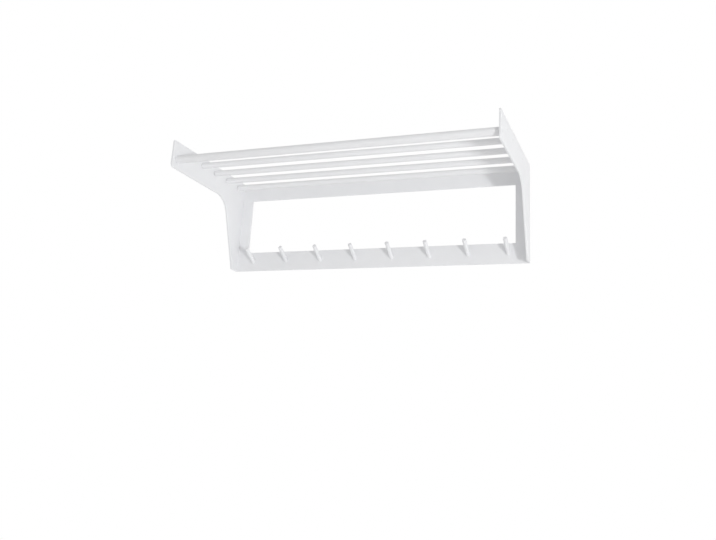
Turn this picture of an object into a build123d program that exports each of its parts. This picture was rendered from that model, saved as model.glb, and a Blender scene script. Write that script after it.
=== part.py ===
"""Wall hat and coat rack: two steel gables, a shelf of round slats, a front bar and a pegged back frame.

Frame: +X runs along the rack, +Y points into the wall, +Z is up. The origin is the centre of the
rear rail's back face, so the wall is the plane Y = 0 and the rack stands out of it towards -Y.
"""

import os
from math import radians, tan

from build123d import *

# --- driving dimensions, in millimetres and degrees ------------------------------------------

inner_width = 780.0  # between the inner faces of the two gables
height = 246.0  # top edge of a gable down to its foot
depth = 354.0  # wall to the foremost point of a gable

# gables
plate_thickness = 4.0
arm_height = 68.0  # depth of the arm's blade, top edge to lower edge
nose_lean = 1.0  # the arm's top front corner stands this far behind its lower one
leg_root = 101.0  # depth of the leg where its front edge runs out at the arm's lower edge
leg_foot = 33.0  # depth of the leg at its foot
throat_radius = 55.0  # concave curve between arm and leg
nose_top_radius = 4.0
nose_low_radius = 9.0
foot_radius = 3.0

# back frame, welded up from flat bar
frame_thickness = 4.0
rail_height = 50.0
frame_edge_ease = 0.4
stile_width = 30.0
tab_height = 20.0  # tab on a rail's end, in a notch in the back edge of a gable

# shelf
slat_count = 5
slat_diameter = 15.0
slat_pitch = 60.8
slat_drop = 21.6  # top edge of a gable down to the slats' axes
last_slat_depth = 41.3  # wall to the axis of the slat nearest to it
front_bar_diameter = 19.0
front_bar_drop = 44.6  # top edge of a gable down to the bar's axis
front_bar_setback = 20.0  # foremost point of a gable back to the bar's axis

# pegs
peg_count = 8
peg_end_margin = 47.0  # inner face of a gable to the axis of the peg nearest to it
peg_diameter = 10.0
peg_length = 50.0  # along the axis, from the rail's front face to the tip
peg_tilt = 33.0  # above the horizontal

# screws through the gables
screw_length = 30.0
screw_head_diameter = 8.0
screw_shank_diameter = 3.6
screw_socket = 3.0  # across flats
screw_socket_depth = 1.6

# keyholes in the rear rail, for two wall screws
hanger_spacing = 600.0
hanger_height = 14.0  # centre of the entry holes above the middle of the rail
hanger_rise = 5.0  # centre of an entry hole up to the centre of its slot's top end
hanger_entry_diameter = 9.0
hanger_slot_width = 5.0

# fits
plate_hole_clearance = 0.1
thread_clearance = 0.02
weld_gap = 0.05

# --- places that follow from them ------------------------------------------------------------

half_width = inner_width / 2
top = rail_height / 2
bottom = top - height
arm_bottom = top - arm_height
mid_frame = -frame_thickness / 2
peg_rail_z = bottom + rail_height / 2
stile_top = -rail_height / 2
stile_bottom = bottom + rail_height
stile_x = half_width - stile_width / 2

slat_z = top - slat_drop
slat_places = [
    (-last_slat_depth - slat_pitch * (slat_count - 1 - index), slat_z)
    for index in range(slat_count)
]
front_bar_place = (front_bar_setback - depth, top - front_bar_drop)
screw_places = [front_bar_place, *slat_places]

first_peg_x = peg_end_margin - half_width
peg_pitch = -2 * first_peg_x / (peg_count - 1)
peg_xs = [first_peg_x + index * peg_pitch for index in range(peg_count)]
hanger_xs = [-hanger_spacing / 2, hanger_spacing / 2]


def end_planes(place):
    """The two planes on the ends of a bar at (y, z), facing out of the rack."""
    y, z = place
    return [
        Plane(origin=(side * half_width, y, z), x_dir=(0, 1, 0), z_dir=(side, 0, 0))
        for side in (-1, 1)
    ]


def outer_planes(side):
    """Planes on the outer face of the left (-1) or right (1) gable, one at each screw."""
    x = side * (half_width + plate_thickness)
    return [
        Plane(origin=(x, y, z), x_dir=(0, 1, 0), z_dir=(side, 0, 0))
        for y, z in screw_places
    ]


def peg_plane(x):
    """A plane across a peg where its axis meets the rail's front face, facing the tip."""
    front = Plane(origin=(x, -frame_thickness, peg_rail_z), x_dir=(1, 0, 0), z_dir=(0, -1, 0))
    return front.rotated((-peg_tilt, 0, 0))


def places(planes):
    """Locations for a list of planes, so that one feature is made at each of them."""
    return Locations(*[Location(plane) for plane in planes])


# --- gables ----------------------------------------------------------------------------------

gable_outline = [
    (0, top),
    (nose_lean - depth, top),
    (-depth, arm_bottom),
    (-leg_root, arm_bottom),
    (-leg_foot, bottom),
    (0, bottom),
]
gable_radii = [0, nose_top_radius, nose_low_radius, throat_radius, foot_radius, 0]

with BuildPart() as left_gable:
    with BuildSketch(Plane.YZ.offset(-half_width)):
        with BuildLine():
            FilletPolyline(*gable_outline, radius=gable_radii, close=True)
        make_face()
    extrude(amount=-plate_thickness)
    with BuildSketch(Plane.YZ.offset(-half_width)):
        with Locations((0, 0), (0, peg_rail_z)):
            Rectangle(2 * (frame_thickness + weld_gap), tab_height + 2 * weld_gap)
    extrude(amount=-plate_thickness, mode=Mode.SUBTRACT)
    with places(outer_planes(-1)):
        CounterSinkHole(
            radius=screw_shank_diameter / 2 + plate_hole_clearance,
            counter_sink_radius=screw_head_diameter / 2 + plate_hole_clearance,
            depth=plate_thickness,
            counter_sink_angle=90,
        )

with BuildPart() as right_gable:
    mirror(left_gable.part, about=Plane.YZ)

# --- shelf bars ------------------------------------------------------------------------------


def round_bar(place, diameter):
    """A round bar between the gables at (y, z), with a pilot bore in each end."""
    with BuildPart() as bar:
        with BuildSketch(Plane.YZ.offset(-half_width)):
            with Locations(place):
                Circle(diameter / 2)
        extrude(amount=inner_width)
        with places(end_planes(place)):
            Hole(
                radius=screw_shank_diameter / 2 + thread_clearance,
                depth=screw_length - plate_thickness + thread_clearance,
            )
    return bar.part


front_bar = round_bar(front_bar_place, front_bar_diameter)
slats = [round_bar(place, slat_diameter) for place in slat_places]

# --- back frame ------------------------------------------------------------------------------


def rail(z):
    """A rail centred on height z: flat bar with eased long edges and a tab on each end."""
    with BuildPart() as flat:
        with BuildSketch(Plane.YZ.offset(-half_width)):
            with Locations((mid_frame, z)):
                Rectangle(frame_thickness, rail_height)
        extrude(amount=inner_width)
        chamfer(flat.edges().filter_by(Axis.X), frame_edge_ease)
        with BuildSketch(Plane.YZ.offset(-half_width - plate_thickness)):
            with Locations((mid_frame, z)):
                Rectangle(frame_thickness, tab_height)
        extrude(amount=inner_width + 2 * plate_thickness)
    return flat.part


with BuildPart() as rear_rail:
    add(rail(0))
    with BuildSketch(Plane.XZ):
        with Locations(*[(x, hanger_height) for x in hanger_xs]):
            Circle(hanger_entry_diameter / 2)
        with Locations(*[(x, hanger_height + hanger_rise / 2) for x in hanger_xs]):
            SlotCenterToCenter(hanger_rise, hanger_slot_width, rotation=90)
    extrude(amount=frame_thickness, mode=Mode.SUBTRACT)

with BuildPart() as peg_rail:
    add(rail(peg_rail_z))

with BuildPart() as left_stile:
    with BuildSketch(Plane.XY.offset(stile_bottom)):
        with Locations((-stile_x, mid_frame)):
            Rectangle(stile_width, frame_thickness)
    extrude(amount=stile_top - stile_bottom)
    chamfer(left_stile.edges().filter_by(Axis.Z), frame_edge_ease)

with BuildPart() as right_stile:
    mirror(left_stile.part, about=Plane.YZ)

# --- pegs ------------------------------------------------------------------------------------

peg_overlength = peg_diameter * tan(radians(peg_tilt))  # cut away by the slanting back end


def peg(x):
    """One peg, its back end cut at a slant so that it lies flat on the front of the rail."""
    with BuildPart() as rod:
        with BuildSketch(peg_plane(x).offset(-peg_overlength)):
            Circle(peg_diameter / 2)
        extrude(amount=peg_overlength + peg_length)
        split(bisect_by=Plane.XZ.offset(frame_thickness + weld_gap), keep=Keep.TOP)
    return rod.part


pegs = [peg(x) for x in peg_xs]

# --- gable screws ----------------------------------------------------------------------------

head_radius = screw_head_diameter / 2
shank_radius = screw_shank_diameter / 2
head_depth = head_radius - shank_radius

with BuildPart() as gable_screw:
    with BuildSketch(Plane.XZ):
        with BuildLine():
            Polyline(
                (0, 0),
                (head_radius, 0),
                (shank_radius, -head_depth),
                (shank_radius, -screw_length),
                (0, -screw_length),
                close=True,
            )
        make_face()
    revolve(axis=Axis.Z)
    with BuildSketch(Plane.XY):
        RegularPolygon(radius=screw_socket / 2, side_count=6, major_radius=False)
    extrude(amount=-screw_socket_depth, mode=Mode.SUBTRACT)

with BuildPart() as left_gable_screws:
    with places(outer_planes(-1)):
        add(gable_screw.part)

with BuildPart() as right_gable_screws:
    mirror(left_gable_screws.part, about=Plane.YZ)

# --- files -----------------------------------------------------------------------------------

pieces = {
    "left_gable": left_gable.part,
    "right_gable": right_gable.part,
    "front_bar": front_bar,
    "rear_rail": rear_rail.part,
    "peg_rail": peg_rail.part,
    "left_stile": left_stile.part,
    "right_stile": right_stile.part,
    "left_gable_screws": left_gable_screws.part,
    "right_gable_screws": right_gable_screws.part,
}
for number, slat in enumerate(slats, start=1):
    pieces[f"slat_{number}"] = slat
for number, turned_peg in enumerate(pegs, start=1):
    pieces[f"peg_{number}"] = turned_peg

os.makedirs("parts", exist_ok=True)
for name, piece in pieces.items():
    piece.label = name
    export_step(piece, f"parts/{name}.step")
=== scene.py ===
"""Looks of the wall hat and coat rack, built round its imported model.

Every piece is modelled here in place of its plain node, with the eased edges, rounded tips and
sockets that the real one has, and each gets its own finish.
"""

import logging
import math
from collections.abc import Callable
from dataclasses import dataclass
from enum import Enum

import bmesh
import bpy
from mathutils import Matrix, Vector


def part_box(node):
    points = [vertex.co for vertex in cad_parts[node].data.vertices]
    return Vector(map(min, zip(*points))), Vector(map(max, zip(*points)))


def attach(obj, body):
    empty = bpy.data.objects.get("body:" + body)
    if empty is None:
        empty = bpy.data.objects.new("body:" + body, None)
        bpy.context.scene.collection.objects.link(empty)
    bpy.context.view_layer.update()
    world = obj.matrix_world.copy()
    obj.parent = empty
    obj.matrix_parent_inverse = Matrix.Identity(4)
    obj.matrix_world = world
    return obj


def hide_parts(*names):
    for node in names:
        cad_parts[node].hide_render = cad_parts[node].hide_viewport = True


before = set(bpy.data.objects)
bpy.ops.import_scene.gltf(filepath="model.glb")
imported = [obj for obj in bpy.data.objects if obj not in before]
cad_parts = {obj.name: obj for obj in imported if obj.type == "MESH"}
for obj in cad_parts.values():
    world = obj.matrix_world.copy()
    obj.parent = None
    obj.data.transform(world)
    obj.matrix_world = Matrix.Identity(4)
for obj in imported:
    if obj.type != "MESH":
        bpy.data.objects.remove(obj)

LOG = logging.getLogger("rack")
BODY = "root"
MM = 0.001

MERGE_DISTANCE = 0.0005 * MM
SHARP_ANGLE = math.radians(32)  # faces that turn more than this meet in a visible edge
ARC_STEP = math.radians(6)  # the most that one straight piece of an arc turns
ASKEW = 0.5  # radians that a work is turned by while an outline is filled
PARALLEL = 0.999  # cosine above which two directions count as one

Colour = tuple[float, float, float, float]
WHITE: Colour = (1.0, 1.0, 1.0, 1.0)


class Side(Enum):
    """The two ends of the rack, as the sign of X."""

    LEFT = -1
    RIGHT = 1

    def node(self, part: str) -> str:
        """The name of this side's node for a part that the rack has twice."""
        return f"{self.name.lower()}_{part}"

    def outside(self, node: str) -> float:
        """The X of the face of a node that points away from the middle of the rack."""
        low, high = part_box(node)
        return high.x if self is Side.RIGHT else low.x


# --- finishes --------------------------------------------------------------------------------


class NodeSheet:
    """A node tree that is filled in from left to right, with short calls for nodes and links."""

    SPACING = 200
    FACTOR, FIRST, SECOND, MIXED = 0, 6, 7, 2  # sockets of a Mix node for colours

    def __init__(self, tree: bpy.types.NodeTree) -> None:
        """Keeps the tree to be filled.

        Args:
            tree: an empty material or group tree.
        """
        self.tree = tree

    def node(self, kind: str, **settings: object) -> bpy.types.Node:
        """Adds one node.

        Args:
            kind: the node's type name.
            settings: attributes of the node, and values of its inputs under their socket names
                with spaces as underscores.

        Returns:
            The new node.
        """
        made = self.tree.nodes.new(kind)
        made.location.x = self.SPACING * len(self.tree.nodes)
        for name, value in settings.items():
            if hasattr(made, name):
                setattr(made, name, value)
            else:
                made.inputs[name.replace("_", " ")].default_value = value
        return made

    def link(self, source: bpy.types.NodeSocket, target: bpy.types.NodeSocket) -> None:
        """Joins an output to an input."""
        self.tree.links.new(source, target)

    def mix(self, share: bpy.types.NodeSocket, first: Colour, second: Colour) -> bpy.types.Node:
        """Adds a node that mixes two colours.

        Args:
            share: the output that says how much of the second one shows.
            first: the colour at a share of 0.
            second: the colour at a share of 1.

        Returns:
            The new node.
        """
        made = self.node("ShaderNodeMix", data_type="RGBA")
        made.inputs[self.FIRST].default_value = first
        made.inputs[self.SECOND].default_value = second
        self.link(share, made.inputs[self.FACTOR])
        return made


class Effects:
    """Shader node groups that the finishes share, each built once."""

    @staticmethod
    def new_group(name: str, inputs: dict[str, float], outputs: list[str]) -> NodeSheet:
        """Makes an empty group with named value sockets and a vector input called Place.

        Args:
            name: the group's name.
            inputs: names and default values of its value inputs.
            outputs: names of its value outputs.

        Returns:
            The group's tree, with its input and output nodes in it.
        """
        tree = bpy.data.node_groups.new(name, "ShaderNodeTree")
        tree.interface.new_socket("Place", in_out="INPUT", socket_type="NodeSocketVector")
        for label, value in inputs.items():
            made = tree.interface.new_socket(label, in_out="INPUT", socket_type="NodeSocketFloat")
            made.default_value = value
        for label in outputs:
            tree.interface.new_socket(label, in_out="OUTPUT", socket_type="NodeSocketFloat")
        tree.nodes.new("NodeGroupInput")
        tree.nodes.new("NodeGroupOutput")
        return NodeSheet(tree)

    @staticmethod
    def orange_peel() -> bpy.types.NodeTree:
        """The fine dimpled skin of a baked powder coat.

        Returns:
            A group with a Height for bump and a broad Cloud mask for slight changes of tone.
        """
        found = bpy.data.node_groups.get("orange_peel")
        if found:
            return found
        sheet = Effects.new_group("orange_peel", {"Dimples": 450.0}, ["Height", "Cloud"])
        given, result = sheet.tree.nodes[:2]
        dimples = sheet.node("ShaderNodeTexNoise", Detail=1.5, Roughness=0.45)
        sheet.link(given.outputs["Place"], dimples.inputs["Vector"])
        sheet.link(given.outputs["Dimples"], dimples.inputs["Scale"])
        cloud = sheet.node("ShaderNodeTexNoise", Scale=14.0, Detail=3.0, Roughness=0.55)
        sheet.link(given.outputs["Place"], cloud.inputs["Vector"])
        sheet.link(dimples.outputs["Fac"], result.inputs["Height"])
        sheet.link(cloud.outputs["Fac"], result.inputs["Cloud"])
        return sheet.tree

    @staticmethod
    def lacquered_grain() -> bpy.types.NodeTree:
        """Close straight grain along X, half filled by lacquer.

        Returns:
            A group with a Height for bump and a Streak mask for slight changes of tone.
        """
        found = bpy.data.node_groups.get("lacquered_grain")
        if found:
            return found
        sizes = {"Stretch": 0.02, "Fineness": 900.0}
        sheet = Effects.new_group("lacquered_grain", sizes, ["Height", "Streak"])
        given, result = sheet.tree.nodes[:2]
        along = sheet.node("ShaderNodeCombineXYZ", Y=1.0, Z=1.0)
        sheet.link(given.outputs["Stretch"], along.inputs["X"])
        drawn = sheet.node("ShaderNodeVectorMath", operation="MULTIPLY")
        sheet.link(given.outputs["Place"], drawn.inputs[0])
        sheet.link(along.outputs["Vector"], drawn.inputs[1])
        fibres = sheet.node("ShaderNodeTexNoise", Detail=3.0, Roughness=0.6)
        sheet.link(drawn.outputs["Vector"], fibres.inputs["Vector"])
        sheet.link(given.outputs["Fineness"], fibres.inputs["Scale"])
        streaks = sheet.node("ShaderNodeTexNoise", Scale=160.0, Detail=2.0, Roughness=0.5)
        sheet.link(drawn.outputs["Vector"], streaks.inputs["Vector"])
        sheet.link(fibres.outputs["Fac"], result.inputs["Height"])
        sheet.link(streaks.outputs["Fac"], result.inputs["Streak"])
        return sheet.tree

    @staticmethod
    def settled_dust() -> bpy.types.NodeTree:
        """A thin patchy film of dust on faces that look up.

        Returns:
            A group with a Film mask, 0 where the face is clean.
        """
        found = bpy.data.node_groups.get("settled_dust")
        if found:
            return found
        sheet = Effects.new_group("settled_dust", {"Amount": 0.1}, ["Film"])
        given, result = sheet.tree.nodes[:2]
        facing = sheet.node("ShaderNodeNewGeometry")
        parts = sheet.node("ShaderNodeSeparateXYZ")
        sheet.link(facing.outputs["Normal"], parts.inputs["Vector"])
        upward = sheet.node("ShaderNodeMapRange", From_Min=0.5, From_Max=1.0)
        sheet.link(parts.outputs["Z"], upward.inputs["Value"])
        patches = sheet.node("ShaderNodeTexNoise", Scale=60.0, Detail=4.0, Roughness=0.6)
        sheet.link(given.outputs["Place"], patches.inputs["Vector"])
        patchy = sheet.node("ShaderNodeMath", operation="MULTIPLY")
        sheet.link(upward.outputs["Result"], patchy.inputs[0])
        sheet.link(patches.outputs["Fac"], patchy.inputs[1])
        thin = sheet.node("ShaderNodeMath", operation="MULTIPLY")
        sheet.link(patchy.outputs["Value"], thin.inputs[0])
        sheet.link(given.outputs["Amount"], thin.inputs[1])
        sheet.link(thin.outputs["Value"], result.inputs["Film"])
        return sheet.tree


class Skin(Enum):
    """The kinds of surface that a coat can have, each with the name of its mask."""

    ORANGE_PEEL = "Cloud"
    LACQUERED_GRAIN = "Streak"

    def group(self) -> bpy.types.NodeTree:
        """The node group with this surface's Height and mask."""
        return Effects.orange_peel() if self is Skin.ORANGE_PEEL else Effects.lacquered_grain()


@dataclass(frozen=True)
class WhiteCoat:
    """A white coat over steel or wood: two near whites mixed by the mask of its skin."""

    name: str
    slot: str
    skin: Skin
    settings: dict[str, float]
    light: Colour
    dark: Colour
    roughness: float
    relief: float
    spread: tuple[float, float] = (0.35, 0.65)
    gloss_swing: float = 0.03
    ior: float = 1.5
    specular: float = 0.4
    dust: float = 0.08
    dust_tone: Colour = (0.62, 0.61, 0.59, 1.0)

    def material(self) -> bpy.types.Material:
        """Builds the material, or returns it where an earlier piece has built it.

        Returns:
            The finished material.
        """
        found = bpy.data.materials.get(self.name)
        if found:
            return found
        made = bpy.data.materials.new(self.name)
        made.use_nodes = True
        made.diffuse_color = self.light
        made.node_tree.nodes.clear()
        sheet = NodeSheet(made.node_tree)
        place = sheet.node("ShaderNodeTexCoord").outputs["Object"]
        skin = sheet.node("ShaderNodeGroup", node_tree=self.skin.group())
        for label, value in self.settings.items():
            skin.inputs[label].default_value = value
        sheet.link(place, skin.inputs["Place"])
        mask = skin.outputs[self.skin.value]

        shader = sheet.node("ShaderNodeBsdfPrincipled", IOR=self.ior, Specular_IOR_Level=self.specular)
        sheet.link(self.colour(sheet, place, mask), shader.inputs["Base Color"])
        dullest, glossiest = self.roughness + self.gloss_swing, self.roughness - self.gloss_swing
        gloss = sheet.node("ShaderNodeMapRange", To_Min=glossiest, To_Max=dullest)
        sheet.link(mask, gloss.inputs["Value"])
        sheet.link(gloss.outputs["Result"], shader.inputs["Roughness"])
        bump = sheet.node("ShaderNodeBump", Strength=1.0, Distance=self.relief)
        sheet.link(skin.outputs["Height"], bump.inputs["Height"])
        sheet.link(bump.outputs["Normal"], shader.inputs["Normal"])
        output = sheet.node("ShaderNodeOutputMaterial")
        sheet.link(shader.outputs["BSDF"], output.inputs["Surface"])
        return made

    def colour(
        self,
        sheet: NodeSheet,
        place: bpy.types.NodeSocket,
        mask: bpy.types.NodeSocket,
    ) -> bpy.types.NodeSocket:
        """Mixes the two near whites and lays a thin film of dust over them.

        Args:
            sheet: the material's tree.
            place: the output with the object's own coordinates.
            mask: the output that mixes the near whites.

        Returns:
            The output with the colour.
        """
        least, most = self.spread
        share = sheet.node("ShaderNodeMapRange", From_Min=least, From_Max=most)
        sheet.link(mask, share.inputs["Value"])
        tone = sheet.mix(share.outputs["Result"], self.light, self.dark)
        dust = sheet.node("ShaderNodeGroup", node_tree=Effects.settled_dust())
        dust.inputs["Amount"].default_value = self.dust
        sheet.link(place, dust.inputs["Place"])
        dusty = sheet.mix(dust.outputs["Film"], self.light, self.dust_tone)
        sheet.link(tone.outputs[sheet.MIXED], dusty.inputs[sheet.FIRST])
        return dusty.outputs[sheet.MIXED]


POWDER_COAT = WhiteCoat(
    name="powder_coated_steel",
    slot="steel_coat",
    skin=Skin.ORANGE_PEEL,
    settings={"Dimples": 450.0},
    light=(0.868, 0.872, 0.886, 1.0),
    dark=(0.852, 0.857, 0.872, 1.0),
    roughness=0.5,
    relief=0.05 * MM,
)
LACQUER = WhiteCoat(
    name="lacquered_wood",
    slot="wood_lacquer",
    skin=Skin.LACQUERED_GRAIN,
    settings={"Stretch": 0.02, "Fineness": 900.0},
    light=(0.87, 0.872, 0.883, 1.0),
    dark=(0.853, 0.855, 0.867, 1.0),
    roughness=0.45,
    relief=0.08 * MM,
)
SCREW_PAINT = WhiteCoat(
    name="painted_screw",
    slot="screw_coat",
    skin=Skin.ORANGE_PEEL,
    settings={"Dimples": 900.0},
    light=(0.85, 0.855, 0.86, 1.0),
    dark=(0.82, 0.825, 0.83, 1.0),
    roughness=0.34,
    relief=0.02 * MM,
)


# --- shaping ---------------------------------------------------------------------------------


@dataclass(frozen=True)
class Corner:
    """One corner of an outline, with the radius that rounds it."""

    at: tuple[float, float]
    radius: float = 0.0


@dataclass(frozen=True)
class Drawing:
    """A flat drawing board in space: its origin and the directions of its two axes."""

    origin: Vector
    across: Vector
    up: Vector

    @property
    def normal(self) -> Vector:
        """The direction that the board faces."""
        return self.across.cross(self.up)

    def matrix(self) -> Matrix:
        """What carries a thing from the world's floor plane on to the board."""
        turned = Matrix((self.across, self.up, self.normal)).transposed().to_4x4()
        return Matrix.Translation(self.origin) @ turned

    def point(self, at: tuple[float, float]) -> Vector:
        """The point in space that a point of the drawing stands for."""
        return self.origin + at[0] * self.across + at[1] * self.up

    def moved(self, distance: float) -> "Drawing":
        """A parallel board, this far along the normal."""
        return Drawing(self.origin + distance * self.normal, self.across, self.up)


def only(kind: type, geom: list) -> list:
    """The elements of one kind in the mixed list that an operator gives back."""
    return [element for element in geom if isinstance(element, kind)]


class Outline:
    """A closed line on a drawing board, drawn by extruding and spinning one vertex."""

    def __init__(self, bm: bmesh.types.BMesh, board: Drawing) -> None:
        """Starts with no line.

        Args:
            bm: the mesh that takes the line.
            board: where it is drawn.
        """
        self.bm = bm
        self.board = board
        self.verts: list[bmesh.types.BMVert] = []
        self.edges: list[bmesh.types.BMEdge] = []

    def line_to(self, at: tuple[float, float]) -> None:
        """Draws a straight run from the pen to a point, or puts the pen down there.

        Args:
            at: the point, in the drawing.
        """
        if not self.verts:
            self.verts.append(self.bm.verts.new(self.board.point(at)))
            return
        made = bmesh.ops.extrude_vert_indiv(self.bm, verts=[self.verts[-1]])
        self.edges += made["edges"]
        self.verts += made["verts"]
        self.verts[-1].co = self.board.point(at)

    def arc(self, centre: tuple[float, float], angle: float, steps: int) -> None:
        """Swings the pen round a centre.

        Args:
            centre: the centre, in the drawing.
            angle: the turn, counter-clockwise seen against the normal.
            steps: how many straight pieces the arc gets.
        """
        bmesh.ops.spin(
            self.bm,
            geom=[self.verts[-1]],
            cent=self.board.point(centre),
            axis=self.board.normal,
            angle=angle,
            steps=steps,
        )
        for _ in range(steps):
            last = self.verts[-1]
            edge = next(e for e in last.link_edges if e not in self.edges)
            self.edges.append(edge)
            self.verts.append(edge.other_vert(last))

    def close(self) -> list[bmesh.types.BMEdge]:
        """Draws a last straight run back to the start.

        Returns:
            The edges of the whole closed line.
        """
        self.edges.append(self.bm.edges.new((self.verts[-1], self.verts[0])))
        return self.edges

    def rounded(self, corners: list[Corner]) -> list[bmesh.types.BMEdge]:
        """Draws a closed line through corners, each rounded by its own radius.

        Args:
            corners: the corners in order.

        Returns:
            The edges of the closed line.
        """
        count = len(corners)
        for index, corner in enumerate(corners):
            here = Vector(corner.at)
            back = (Vector(corners[index - 1].at) - here).normalized()
            ahead = (Vector(corners[(index + 1) % count].at) - here).normalized()
            turn = math.pi - back.angle(ahead)
            if not corner.radius:
                self.line_to(corner.at)
                continue
            reach = corner.radius * math.tan(turn / 2)
            bisector = (back + ahead).normalized()
            centre = here + bisector * corner.radius / math.cos(turn / 2)
            sign = 1 if back.x * ahead.y - back.y * ahead.x < 0 else -1
            self.line_to(tuple(here + back * reach))
            self.arc(tuple(centre), sign * turn, max(2, math.ceil(turn / ARC_STEP)))
        return self.close()


@dataclass(frozen=True)
class Hole:
    """A hole through a plate, round or, with a rise, a slot; a wider mouth makes a countersink."""

    at: tuple[float, float]
    radius: float
    mouth: float = 0.0
    slot_rise: float = 0.0
    slot_radius: float = 0.0
    sides: int = 48

    def radius_at(self, depth: float) -> float:
        """The radius on the face with the mouths, at depth 0, or on the far one."""
        return self.radius if depth else max(self.mouth, self.radius)

    def draw(self, bm: bmesh.types.BMesh, board: Drawing, radius: float) -> list[bmesh.types.BMEdge]:
        """Draws the hole's rim on one face of the plate.

        Args:
            bm: the plate's mesh.
            board: the face.
            radius: the radius there.

        Returns:
            The edges of the rim.
        """
        line = Outline(bm, board)
        u, v = self.at
        if not self.slot_rise:
            line.line_to((u + radius, v))
            line.arc(self.at, 2 * math.pi * (1 - 1 / self.sides), self.sides - 1)
            return line.close()
        half = self.slot_radius
        shoulder = math.asin(half / radius)
        line.line_to((u - half, v + radius * math.cos(shoulder)))
        line.arc(self.at, 2 * (math.pi - shoulder), self.sides)
        line.line_to((u + half, v + self.slot_rise))
        line.arc((u, v + self.slot_rise), math.pi, self.sides // 2)
        return line.close()


class Workpiece:
    """A mesh in the making, with the steps that more than one piece needs."""

    def __init__(self) -> None:
        """Starts with an empty mesh."""
        self.bm = bmesh.new()

    def ease(self, edges: list[bmesh.types.BMEdge], radius: float, segments: int = 3) -> None:
        """Rounds edges over.

        Args:
            edges: the sharp edges.
            radius: the radius of the rounding.
            segments: how many flats the rounding gets.
        """
        bmesh.ops.bevel(
            self.bm,
            geom=edges,
            offset=radius,
            offset_type="OFFSET",
            segments=segments,
            profile=0.5,
            affect="EDGES",
            clamp_overlap=True,
            material=-1,
        )

    def plate(
        self,
        board: Drawing,
        corners: list[Corner],
        thickness: float,
        edge: float,
        holes: list[Hole],
        welded: Callable[[Vector], bool],
    ) -> None:
        """Cuts a plate out of sheet, eases its rims and pierces it.

        Args:
            board: lies on one face of the plate, and its normal points through the plate.
            corners: its outline.
            thickness: from the board along its normal.
            edge: the radius that eases both rims.
            holes: what goes through it; mouths are on the board's side.
            welded: tells by the middle of a straight run whether it is a welded joint, which
                stays sharp so that it closes flush.
        """
        line = Outline(self.bm, board).rounded(corners)
        blank = bmesh.ops.edgeloop_fill(self.bm, edges=line)["faces"]
        grown = bmesh.ops.extrude_face_region(self.bm, geom=blank, use_keep_orig=True)["geom"]
        far_rim = only(bmesh.types.BMVert, grown)
        bmesh.ops.translate(self.bm, verts=far_rim, vec=thickness * board.normal)
        bmesh.ops.recalc_face_normals(self.bm, faces=self.bm.faces[:])
        runs = [run for face in self.broad_faces(board) for run in face.edges]
        free = [run for run in runs if not welded((run.verts[0].co + run.verts[1].co) / 2)]
        self.ease(free, edge)
        if holes:
            self.pierce(board, thickness, holes)

    def broad_faces(self, board: Drawing) -> list[bmesh.types.BMFace]:
        """Finds the plate's two broad faces.

        Args:
            board: a board along them.

        Returns:
            The faces, in the order in which the board's normal meets them.
        """
        flat = [f for f in self.bm.faces if abs(f.normal.dot(board.normal)) > PARALLEL]
        largest = sorted(flat, key=lambda f: -f.calc_area())[:2]
        return sorted(largest, key=lambda f: (f.calc_center_median() - board.origin).dot(board.normal))

    def pierce(self, board: Drawing, thickness: float, holes: list[Hole]) -> None:
        """Puts holes through a plate.

        Args:
            board: the face with the mouths.
            thickness: the plate's.
            holes: the holes.
        """
        rims: list[list[list[bmesh.types.BMEdge]]] = []
        for face, depth in zip(self.broad_faces(board), (0.0, thickness)):
            around = list(face.edges)
            bmesh.ops.delete(self.bm, geom=[face], context="FACES_ONLY")
            level = board.moved(depth)
            drawn = [hole.draw(self.bm, level, hole.radius_at(depth)) for hole in holes]
            rims.append(drawn)
            self.fill(board, around + [edge for rim in drawn for edge in rim])
        for near, far in zip(*rims):
            bmesh.ops.bridge_loops(self.bm, edges=near + far)

    def fill(self, board: Drawing, edges: list[bmesh.types.BMEdge]) -> None:
        """Fills a flat outline, and leaves the closed lines inside it open.

        The work is turned askew meanwhile, because the fill misses areas where points are level.

        Args:
            board: a board along the flat area.
            edges: the outline and the lines inside it.
        """
        askew = Matrix.Rotation(ASKEW, 3, board.normal)
        verts = self.bm.verts[:]
        bmesh.ops.rotate(self.bm, cent=board.origin, matrix=askew, verts=verts)
        bmesh.ops.triangle_fill(self.bm, use_beauty=True, edges=edges, normal=board.normal)
        bmesh.ops.rotate(self.bm, cent=board.origin, matrix=askew.transposed(), verts=verts)

    def disc(self, board: Drawing, radius: float, sides: int) -> bmesh.types.BMFace:
        """A round face on a board, facing against the board's normal.

        Args:
            board: its origin is the centre.
            radius: the radius.
            sides: how many sides the circle gets.

        Returns:
            The face.
        """
        made = bmesh.ops.create_circle(
            self.bm,
            cap_ends=True,
            segments=sides,
            radius=radius,
            matrix=board.matrix(),
        )
        return made["verts"][0].link_faces[0]

    def pull(self, face: bmesh.types.BMFace, move: Vector) -> bmesh.types.BMFace:
        """Extrudes one face.

        Args:
            face: the face.
            move: how far its new end goes.

        Returns:
            The face at the new end.
        """
        grown = bmesh.ops.extrude_face_region(self.bm, geom=[face])["geom"]
        end = only(bmesh.types.BMFace, grown)[0]
        bmesh.ops.translate(self.bm, verts=list(end.verts), vec=move)
        return end

    def grow(self, rim: list[bmesh.types.BMEdge], move: Vector) -> list[bmesh.types.BMEdge]:
        """Extrudes a closed line.

        Args:
            rim: the line's edges.
            move: how far its new end goes.

        Returns:
            The edges at the new end.
        """
        grown = bmesh.ops.extrude_edge_only(self.bm, edges=rim)["geom"]
        verts = only(bmesh.types.BMVert, grown)
        bmesh.ops.translate(self.bm, verts=verts, vec=move)
        return [e for e in only(bmesh.types.BMEdge, grown) if all(vert in verts for vert in e.verts)]

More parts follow.
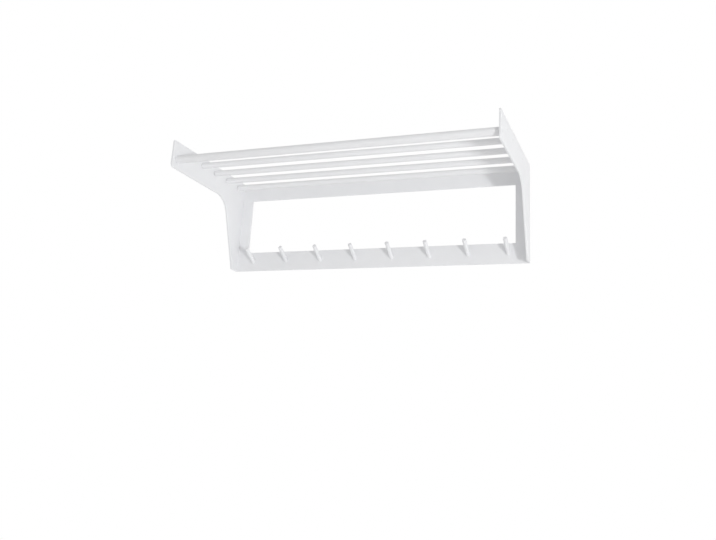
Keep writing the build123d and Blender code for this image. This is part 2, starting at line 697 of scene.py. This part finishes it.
    def finish(self, name: str, node: str, coat: WhiteCoat) -> bpy.types.Object:
        """Closes the mesh, makes it an object, dresses it and puts it in its node's place.

        Args:
            name: the piece's name.
            node: the node that it stands for.
            coat: its finish.

        Returns:
            The finished object.
        """
        bmesh.ops.remove_doubles(self.bm, verts=self.bm.verts[:], dist=MERGE_DISTANCE)
        bmesh.ops.recalc_face_normals(self.bm, faces=self.bm.faces[:])
        mesh = bpy.data.meshes.new(name)
        self.bm.to_mesh(mesh)
        self.bm.free()
        mesh.shade_smooth()
        mesh.set_sharp_from_angle(angle=SHARP_ANGLE)
        piece = bpy.data.objects.new(name, mesh)
        bpy.context.scene.collection.objects.link(piece)
        mesh.materials.append(coat.material())
        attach(piece, BODY)
        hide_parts(node)
        LOG.info("%s stands for %s, %d faces", name, node, len(mesh.polygons))
        return piece


# --- the rack's pieces -----------------------------------------------------------------------


def numbered_nodes(stem: str) -> list[str]:
    """The nodes whose names are this stem and a number, in order."""
    return sorted(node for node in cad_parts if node.removeprefix(stem).isdigit())


@dataclass
class Steelwork:
    """Sizes that the gables, the frame and the screws share."""

    thickness: float = 4.0 * MM
    edge: float = 0.6 * MM
    tab_height: float = 20.0 * MM
    weld_gap: float = 0.05 * MM

    def rail_middles(self) -> tuple[float, float]:
        """Heights of the middles of the rear rail and the peg rail."""
        return tuple(sum(corner.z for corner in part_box(node)) / 2 for node in ("rear_rail", "peg_rail"))


@dataclass
class GableScrews:
    """The countersunk screws that hold the bars to one gable."""

    side: Side
    head_radius: float = 4.0 * MM
    shank_radius: float = 1.8 * MM
    length: float = 30.0 * MM
    point: float = 5.0 * MM
    point_share: float = 0.05  # the point's blunt end against the shank
    socket_radius: float = 1.73 * MM
    socket_depth: float = 1.6 * MM
    below_flush: float = 0.1 * MM

    @property
    def node(self) -> str:
        """The node that holds this side's screws."""
        return self.side.node("gable_screws")

    def places(self) -> list[tuple[float, float]]:
        """Finds the axes of the screws, which are those of the bars.

        Returns:
            Y and Z of each axis.
        """
        bars = ["front_bar"] + numbered_nodes("slat_")
        middles = [(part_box(bar)[0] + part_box(bar)[1]) / 2 for bar in bars]
        return [(middle.y, middle.z) for middle in middles]

    def build(self) -> bpy.types.Object:
        """Turns the screws, each with a hexagon socket.

        Returns:
            One object with all of this side's screws.
        """
        work = Workpiece()
        head_x = self.side.outside(self.node) - self.side.value * self.below_flush
        across = Vector((0, -self.side.value, 0))
        for y, z in self.places():
            self.screw(work, Drawing(Vector((head_x, y, z)), across, Vector((0, 0, 1))))
        return work.finish(f"{self.node}_set", self.node, SCREW_PAINT)

    def screw(self, work: Workpiece, board: Drawing) -> None:
        """Turns one screw.

        Args:
            work: the mesh that takes it.
            board: lies on the head's face, and its normal points down the shank.
        """
        rim = Hole((0.0, 0.0), self.head_radius).draw(work.bm, board, self.head_radius)
        hexagon = bmesh.ops.create_circle(
            work.bm,
            segments=6,
            radius=self.socket_radius,
            matrix=board.matrix(),
        )["verts"]
        socket = list(dict.fromkeys(edge for vert in hexagon for edge in vert.link_edges))
        work.fill(board, rim + socket)
        floor = work.grow(socket, self.socket_depth * board.normal)
        bmesh.ops.edgeloop_fill(work.bm, edges=floor)
        self.shaft(work, board, rim)

    def shaft(self, work: Workpiece, board: Drawing, rim: list[bmesh.types.BMEdge]) -> None:
        """Draws the head's cone, the shank and the point out of the head's rim.

        Args:
            work: the mesh that takes them.
            board: the head's face.
            rim: the edges of the head's rim.
        """
        cone = self.head_radius - self.shank_radius
        stages = [
            (cone, self.shank_radius / self.head_radius),
            (self.length - cone - self.point, 1.0),
            (self.point, self.point_share),
        ]
        level = board
        for depth, scale in stages:
            rim = work.grow(rim, depth * board.normal)
            level = level.moved(depth)
            verts = list(dict.fromkeys(vert for edge in rim for vert in edge.verts))
            to_axis = Matrix.Translation(-level.origin)
            bmesh.ops.scale(work.bm, vec=(scale,) * 3, space=to_axis, verts=verts)
        bmesh.ops.edgeloop_fill(work.bm, edges=rim)


@dataclass
class Gable:
    """One gable: a plate with an arm, a wide throat and a tapering leg."""

    side: Side
    steel: Steelwork
    screws: GableScrews
    arm_height: float = 68.0 * MM
    nose_lean: float = 1.0 * MM
    leg_root: float = 101.0 * MM
    leg_foot: float = 33.0 * MM
    throat_radius: float = 55.0 * MM
    nose_top_radius: float = 4.0 * MM
    nose_low_radius: float = 9.0 * MM
    foot_radius: float = 3.0 * MM
    countersink: float = 4.1 * MM
    pilot: float = 1.9 * MM

    @property
    def node(self) -> str:
        """The node of this gable."""
        return self.side.node("gable")

    def corners(self) -> list[Corner]:
        """Lays out the outline, with a notch for each rail's tab in the back edge.

        Returns:
            The corners in Y and Z.
        """
        low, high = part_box(self.node)
        front, bottom, top = low.y - self.nose_overrun(), low.z, high.z
        outline = [
            Corner((0.0, top)),
            Corner((front + self.nose_lean, top), self.nose_top_radius),
            Corner((front, top - self.arm_height), self.nose_low_radius),
            Corner((-self.leg_root, top - self.arm_height), self.throat_radius),
            Corner((-self.leg_foot, bottom), self.foot_radius),
            Corner((0.0, bottom)),
        ]
        depth = -self.steel.thickness - self.steel.weld_gap
        half = self.steel.tab_height / 2 + self.steel.weld_gap
        for middle in reversed(self.steel.rail_middles()):
            outline += [
                Corner((0.0, middle - half)),
                Corner((depth, middle - half)),
                Corner((depth, middle + half)),
                Corner((0.0, middle + half)),
            ]
        return outline

    def nose_overrun(self) -> float:
        """How far the unrounded nose would stand in front of the rounded one."""
        lean = math.atan(self.nose_lean / self.arm_height)
        return self.nose_low_radius * math.tan(math.pi / 4 - lean / 2) * math.sin(lean)

    def welded(self, middle: Vector) -> bool:
        """Tells whether a run of the outline lies in a notch, where a rail's tab is welded in.

        Args:
            middle: the run's middle.

        Returns:
            True in a notch.
        """
        reach = self.steel.tab_height / 2 + 2 * self.steel.weld_gap
        behind = middle.y > -self.steel.thickness - 2 * self.steel.weld_gap
        return behind and any(abs(middle.z - rail) < reach for rail in self.steel.rail_middles())

    def build(self) -> bpy.types.Object:
        """Cuts the plate and its screw holes.

        Returns:
            The gable's object.
        """
        low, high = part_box(self.node)
        across = Vector((0, -self.side.value, 0))
        board = Drawing(Vector((self.side.outside(self.node), 0, 0)), across, Vector((0, 0, 1)))
        corners = [Corner((-self.side.value * c.at[0], c.at[1]), c.radius) for c in self.corners()]
        holes = [
            Hole((-self.side.value * y, z), self.pilot, mouth=self.countersink)
            for y, z in self.screws.places()
        ]
        work = Workpiece()
        work.plate(board, corners, high.x - low.x, self.steel.edge, holes, self.welded)
        return work.finish(f"{self.node}_plate", self.node, POWDER_COAT)


@dataclass
class ShelfBar:
    """A round bar between the gables, its ends rounded over."""

    node: str
    end_round: float
    sides: int = 96

    def build(self) -> bpy.types.Object:
        """Turns the bar.

        Returns:
            The bar's object.
        """
        low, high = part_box(self.node)
        middle = (low + high) / 2
        work = Workpiece()
        board = Drawing(Vector((low.x, middle.y, middle.z)), Vector((0, 1, 0)), Vector((0, 0, 1)))
        end = work.disc(board, (high.z - low.z) / 2, self.sides)
        work.pull(end, Vector((high.x - low.x, 0, 0)))
        rims = [e for f in work.bm.faces if len(f.verts) == self.sides for e in f.edges]
        work.ease(rims, self.end_round, segments=8)
        return work.finish(f"{self.node}_rod", self.node, LACQUER)


@dataclass
class Shelf:
    """The bars between the gables: the thick one in front, and the slats with rounder ends."""

    front_round: float = 2.5 * MM
    slat_round: float = 4.0 * MM

    def build(self) -> None:
        """Turns all the bars."""
        ShelfBar("front_bar", self.front_round).build()
        for node in numbered_nodes("slat_"):
            ShelfBar(node, self.slat_round).build()


@dataclass
class Keyholes:
    """The two keyholes in the rear rail, where wall screws hold the rack."""

    spacing: float = 600.0 * MM
    height: float = 14.0 * MM
    rise: float = 5.0 * MM
    entry_radius: float = 4.5 * MM
    slot_radius: float = 2.5 * MM

    def holes(self) -> list[Hole]:
        """The holes, for the rail that they pierce."""
        return [
            Hole((x, self.height), self.entry_radius, slot_rise=self.rise, slot_radius=self.slot_radius)
            for x in (-self.spacing / 2, self.spacing / 2)
        ]


@dataclass
class FrameBar:
    """A flat bar of the back frame."""

    node: str
    steel: Steelwork

    def corners(self) -> list[Corner]:
        """The outline in X and Z."""
        low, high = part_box(self.node)
        return [
            Corner((low.x, low.z)),
            Corner((high.x, low.z)),
            Corner((high.x, high.z)),
            Corner((low.x, high.z)),
        ]

    def holes(self) -> list[Hole]:
        """What goes through the bar."""
        return []

    def welded(self, middle: Vector) -> bool:
        """Whether a run of the outline is a welded joint; only a stile's inner edge is free."""
        low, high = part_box(self.node)
        return abs(middle.x) > min(abs(low.x), abs(high.x)) + self.steel.edge

    def build(self) -> bpy.types.Object:
        """Cuts the bar.

        Returns:
            The bar's object.
        """
        low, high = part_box(self.node)
        board = Drawing(Vector((0, low.y, 0)), Vector((-1, 0, 0)), Vector((0, 0, 1)))
        corners = [Corner((-c.at[0], c.at[1]), c.radius) for c in self.corners()]
        work = Workpiece()
        work.plate(board, corners, high.y - low.y, self.steel.edge, self.holes(), self.welded)
        return work.finish(f"{self.node}_bar", self.node, POWDER_COAT)


@dataclass
class Rail(FrameBar):
    """A bar that runs the whole length, with a tab on each end and the stiles along one side."""

    keyholes: Keyholes | None = None

    def inner_edge(self) -> float:
        """The distance from the middle of the rack to the stiles."""
        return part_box("right_stile")[0].x

    def corners(self) -> list[Corner]:
        """Lays out the outline, whose easing runs out under the eased corner of each stile.

        Returns:
            The corners in X and Z.
        """
        low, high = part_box(self.node)
        shoulder = high.x - self.steel.thickness
        middle, half = (low.z + high.z) / 2, self.steel.tab_height / 2
        eased_to, sharp_from = self.inner_edge(), self.inner_edge() + self.steel.edge
        right = [
            (eased_to, low.z),
            (sharp_from, low.z),
            (shoulder, low.z),
            (shoulder, middle - half),
            (high.x, middle - half),
            (high.x, middle + half),
            (shoulder, middle + half),
            (shoulder, high.z),
            (sharp_from, high.z),
            (eased_to, high.z),
        ]
        left = [(-x, z) for x, z in reversed(right)]
        return [Corner(at) for at in right + left]

    def holes(self) -> list[Hole]:
        """The keyholes, if the rail has them."""
        return self.keyholes.holes() if self.keyholes else []

    def welded(self, middle: Vector) -> bool:
        """Tells whether a run of the outline meets a stile or a gable.

        Args:
            middle: the run's middle.

        Returns:
            True beside a stile and on the ends that lie in or against a gable.
        """
        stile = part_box("right_stile")
        beside = abs(middle.x) > self.inner_edge()
        free = min(abs(middle.z - end.z) for end in stile) > self.steel.weld_gap
        return beside and not (free and self.is_long_run(middle))

    def is_long_run(self, middle: Vector) -> bool:
        """Whether a point lies on the rail's upper or lower edge."""
        return min(abs(middle.z - corner.z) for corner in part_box(self.node)) < self.steel.weld_gap


@dataclass
class Peg:
    """A straight round peg, tilted up out of the peg rail, its tip softly rounded."""

    node: str
    steel: Steelwork
    tilt: float = math.radians(33)
    length: float = 50.0 * MM
    tip_round: float = 1.2 * MM
    sides: int = 64

    def build(self) -> bpy.types.Object:
        """Makes the peg and cuts its back end at a slant, where it meets the rail's front.

        Returns:
            The peg's object.
        """
        low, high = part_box(self.node)
        radius = (high.x - low.x) / 2
        axis = Vector((0, -math.cos(self.tilt), math.sin(self.tilt)))
        root = Vector(((low.x + high.x) / 2, -self.steel.thickness, self.steel.rail_middles()[1]))
        behind = 2 * radius * math.tan(self.tilt)
        across = Vector((1, 0, 0))
        work = Workpiece()
        board = Drawing(root - behind * axis, across, axis.cross(across))
        butt = work.disc(board, radius, self.sides)
        tip = work.pull(butt, (behind + self.length) * axis)
        work.ease(list(tip.edges), self.tip_round, segments=5)
        cut = bmesh.ops.bisect_plane(
            work.bm,
            geom=work.bm.verts[:] + work.bm.edges[:] + work.bm.faces[:],
            plane_co=(0, high.y, 0),
            plane_no=(0, 1, 0),
            clear_outer=True,
        )["geom_cut"]
        bmesh.ops.edgeloop_fill(work.bm, edges=only(bmesh.types.BMEdge, cut))
        return work.finish(f"{self.node}_rod", self.node, POWDER_COAT)


# --- studio ----------------------------------------------------------------------------------


@dataclass(frozen=True)
class Softbox:
    """An upright rectangular lamp that looks at a point of the rack."""

    name: str
    place: tuple[float, float, float]
    width: float
    height: float
    power: float
    target: tuple[float, float, float] = (0.0, -0.15, -0.08)

    def build(self) -> bpy.types.Object:
        """Hangs the lamp.

        Returns:
            The lamp's object.
        """
        data = bpy.data.lights.new(self.name, "AREA")
        data.shape = "RECTANGLE"
        data.size = self.width
        data.size_y = self.height
        data.energy = self.power
        lamp = bpy.data.objects.new(self.name, data)
        lamp.location = self.place
        aim = Vector(self.target) - Vector(self.place)
        lamp.rotation_euler = aim.to_track_quat("-Z", "Y").to_euler()
        lamp.visible_camera = False
        bpy.context.scene.collection.objects.link(lamp)
        return lamp


@dataclass(frozen=True)
class Viewpoint:
    """The camera: where it stands, how it is turned, and its lens."""

    place: tuple[float, float, float] = (0.6980, -1.8565, -0.6572)
    yaw: float = math.radians(21.930)
    pitch: float = math.radians(16.114)
    roll: float = math.radians(3.273)
    focal_pixels: float = 800.95
    centre_row: float = 215.0
    frame_width: float = 716.0
    frame_height: float = 540.0
    sensor: float = 36.0

    def build(self) -> bpy.types.Object:
        """Sets the camera up and makes it the scene's.

        Returns:
            The camera's object.
        """
        level = Vector((-math.sin(self.yaw), math.cos(self.yaw), 0))
        upright = Vector((0, 0, 1))
        ahead = level * math.cos(self.pitch) + upright * math.sin(self.pitch)
        above = upright * math.cos(self.pitch) - level * math.sin(self.pitch)
        beside = ahead.cross(above)
        right = beside * math.cos(self.roll) + above * math.sin(self.roll)
        up = above * math.cos(self.roll) - beside * math.sin(self.roll)
        data = bpy.data.cameras.new("view")
        data.sensor_width = self.sensor
        data.lens = self.focal_pixels / self.frame_width * self.sensor
        data.shift_y = (self.centre_row - self.frame_height / 2) / self.frame_width
        camera = bpy.data.objects.new("view", data)
        turned = Matrix((right, up, -ahead)).transposed().to_4x4()
        camera.matrix_world = Matrix.Translation(Vector(self.place)) @ turned
        bpy.context.scene.collection.objects.link(camera)
        bpy.context.scene.camera = camera
        return camera


@dataclass
class Studio:
    """A white studio: pale floor, white surroundings, one soft lamp and the camera."""

    ambient: float = 0.57
    from_behind: float = 0.76
    floor_height: float = -1.9
    floor_size: float = 12.0
    floor_tone: Colour = (0.9, 0.9, 0.9, 1.0)
    floor_glow: float = 0.95
    key: Softbox = Softbox("key", place=(3.28, -3.24, -1.42), width=0.22, height=0.5, power=68.0)
    view: Viewpoint = Viewpoint()

    def build(self) -> None:
        """Makes the floor, the world, the lamp and the camera."""
        self.floor()
        self.surroundings()
        self.key.build()
        self.view.build()
        bpy.context.scene.view_settings.view_transform = "Standard"

    def floor(self) -> None:
        """Lays the pale floor well below the rack."""
        bm = bmesh.new()
        half = self.floor_size / 2
        bmesh.ops.create_grid(bm, x_segments=1, y_segments=1, size=half)
        bmesh.ops.translate(bm, verts=bm.verts[:], vec=(0, 0, self.floor_height))
        mesh = bpy.data.meshes.new("floor")
        bm.to_mesh(mesh)
        bm.free()
        ground = bpy.data.objects.new("floor", mesh)
        bpy.context.scene.collection.objects.link(ground)
        mesh.materials.append(self.floor_paint())

    def floor_paint(self) -> bpy.types.Material:
        """A white floor that keeps the rack's faint shadow.

        Returns:
            The floor's material.
        """
        made = bpy.data.materials.new("studio_floor")
        made.use_nodes = True
        made.node_tree.nodes.clear()
        sheet = NodeSheet(made.node_tree)
        matt = sheet.node("ShaderNodeBsdfDiffuse", Color=self.floor_tone)
        glow = sheet.node("ShaderNodeEmission", Strength=1.0)
        share = sheet.node("ShaderNodeMath", operation="MULTIPLY")
        share.inputs[1].default_value = self.floor_glow
        mixed = sheet.node("ShaderNodeMixShader")
        output = sheet.node("ShaderNodeOutputMaterial")
        sheet.link(self.plainly_seen(sheet), share.inputs[0])
        sheet.link(share.outputs["Value"], mixed.inputs["Fac"])
        sheet.link(matt.outputs["BSDF"], mixed.inputs[1])
        sheet.link(glow.outputs["Emission"], mixed.inputs[2])
        sheet.link(mixed.outputs["Shader"], output.inputs["Surface"])
        return made

    def surroundings(self) -> None:
        """Makes a white world that lights the rack more from behind, as a pale wall there would.

        The camera and reflections see it as plain white.
        """
        world = bpy.data.worlds.new("studio")
        world.use_nodes = True
        world.node_tree.nodes.clear()
        sheet = NodeSheet(world.node_tree)
        even = sheet.node("ShaderNodeBackground", Color=WHITE)
        white = sheet.node("ShaderNodeBackground", Color=WHITE, Strength=1.0)
        sheet.link(self.brightness(sheet), even.inputs["Strength"])
        mixed = sheet.node("ShaderNodeMixShader")
        output = sheet.node("ShaderNodeOutputWorld")
        sheet.link(self.plainly_seen(sheet), mixed.inputs["Fac"])
        sheet.link(even.outputs["Background"], mixed.inputs[1])
        sheet.link(white.outputs["Background"], mixed.inputs[2])
        sheet.link(mixed.outputs["Shader"], output.inputs["Surface"])
        bpy.context.scene.world = world

    def brightness(self, sheet: NodeSheet) -> bpy.types.NodeSocket:
        """How strongly the world lights from each direction.

        Args:
            sheet: the world's tree.

        Returns:
            The socket with the strength: even all round, and rising towards the wall's side.
        """
        heading = sheet.node("ShaderNodeTexCoord")
        parts = sheet.node("ShaderNodeSeparateXYZ")
        wall = sheet.node("ShaderNodeMath", operation="MULTIPLY", use_clamp=True)
        wall.inputs[1].default_value = self.from_behind
        total = sheet.node("ShaderNodeMath", operation="ADD")
        total.inputs[1].default_value = self.ambient
        sheet.link(heading.outputs["Generated"], parts.inputs["Vector"])
        sheet.link(parts.outputs["Y"], wall.inputs[0])
        sheet.link(wall.outputs["Value"], total.inputs[0])
        return total.outputs["Value"]

    @staticmethod
    def plainly_seen(sheet: NodeSheet) -> bpy.types.NodeSocket:
        """Picks out the rays that show the world instead of gathering its light.

        Args:
            sheet: the tree that asks.

        Returns:
            The socket, 1 for rays from the camera, from a reflection or through something clear.
        """
        path = sheet.node("ShaderNodeLightPath")
        seen = path.outputs["Is Camera Ray"]
        for label in ("Is Glossy Ray", "Is Transmission Ray"):
            either = sheet.node("ShaderNodeMath", operation="MAXIMUM")
            sheet.link(seen, either.inputs[0])
            sheet.link(path.outputs[label], either.inputs[1])
            seen = either.outputs["Value"]
        return seen


def main() -> None:
    """Builds the rack piece by piece, then the studio round it."""
    logging.basicConfig(level=logging.INFO, format="%(message)s")
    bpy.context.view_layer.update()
    steel = Steelwork()
    for side in Side:
        screws = GableScrews(side)
        Gable(side, steel, screws).build()
        screws.build()
    Shelf().build()
    Rail("rear_rail", steel, Keyholes()).build()
    Rail("peg_rail", steel).build()
    for side in Side:
        FrameBar(side.node("stile"), steel).build()
    for node in numbered_nodes("peg_"):
        Peg(node, steel).build()
    Studio().build()


if __name__ == "__main__":
    main()
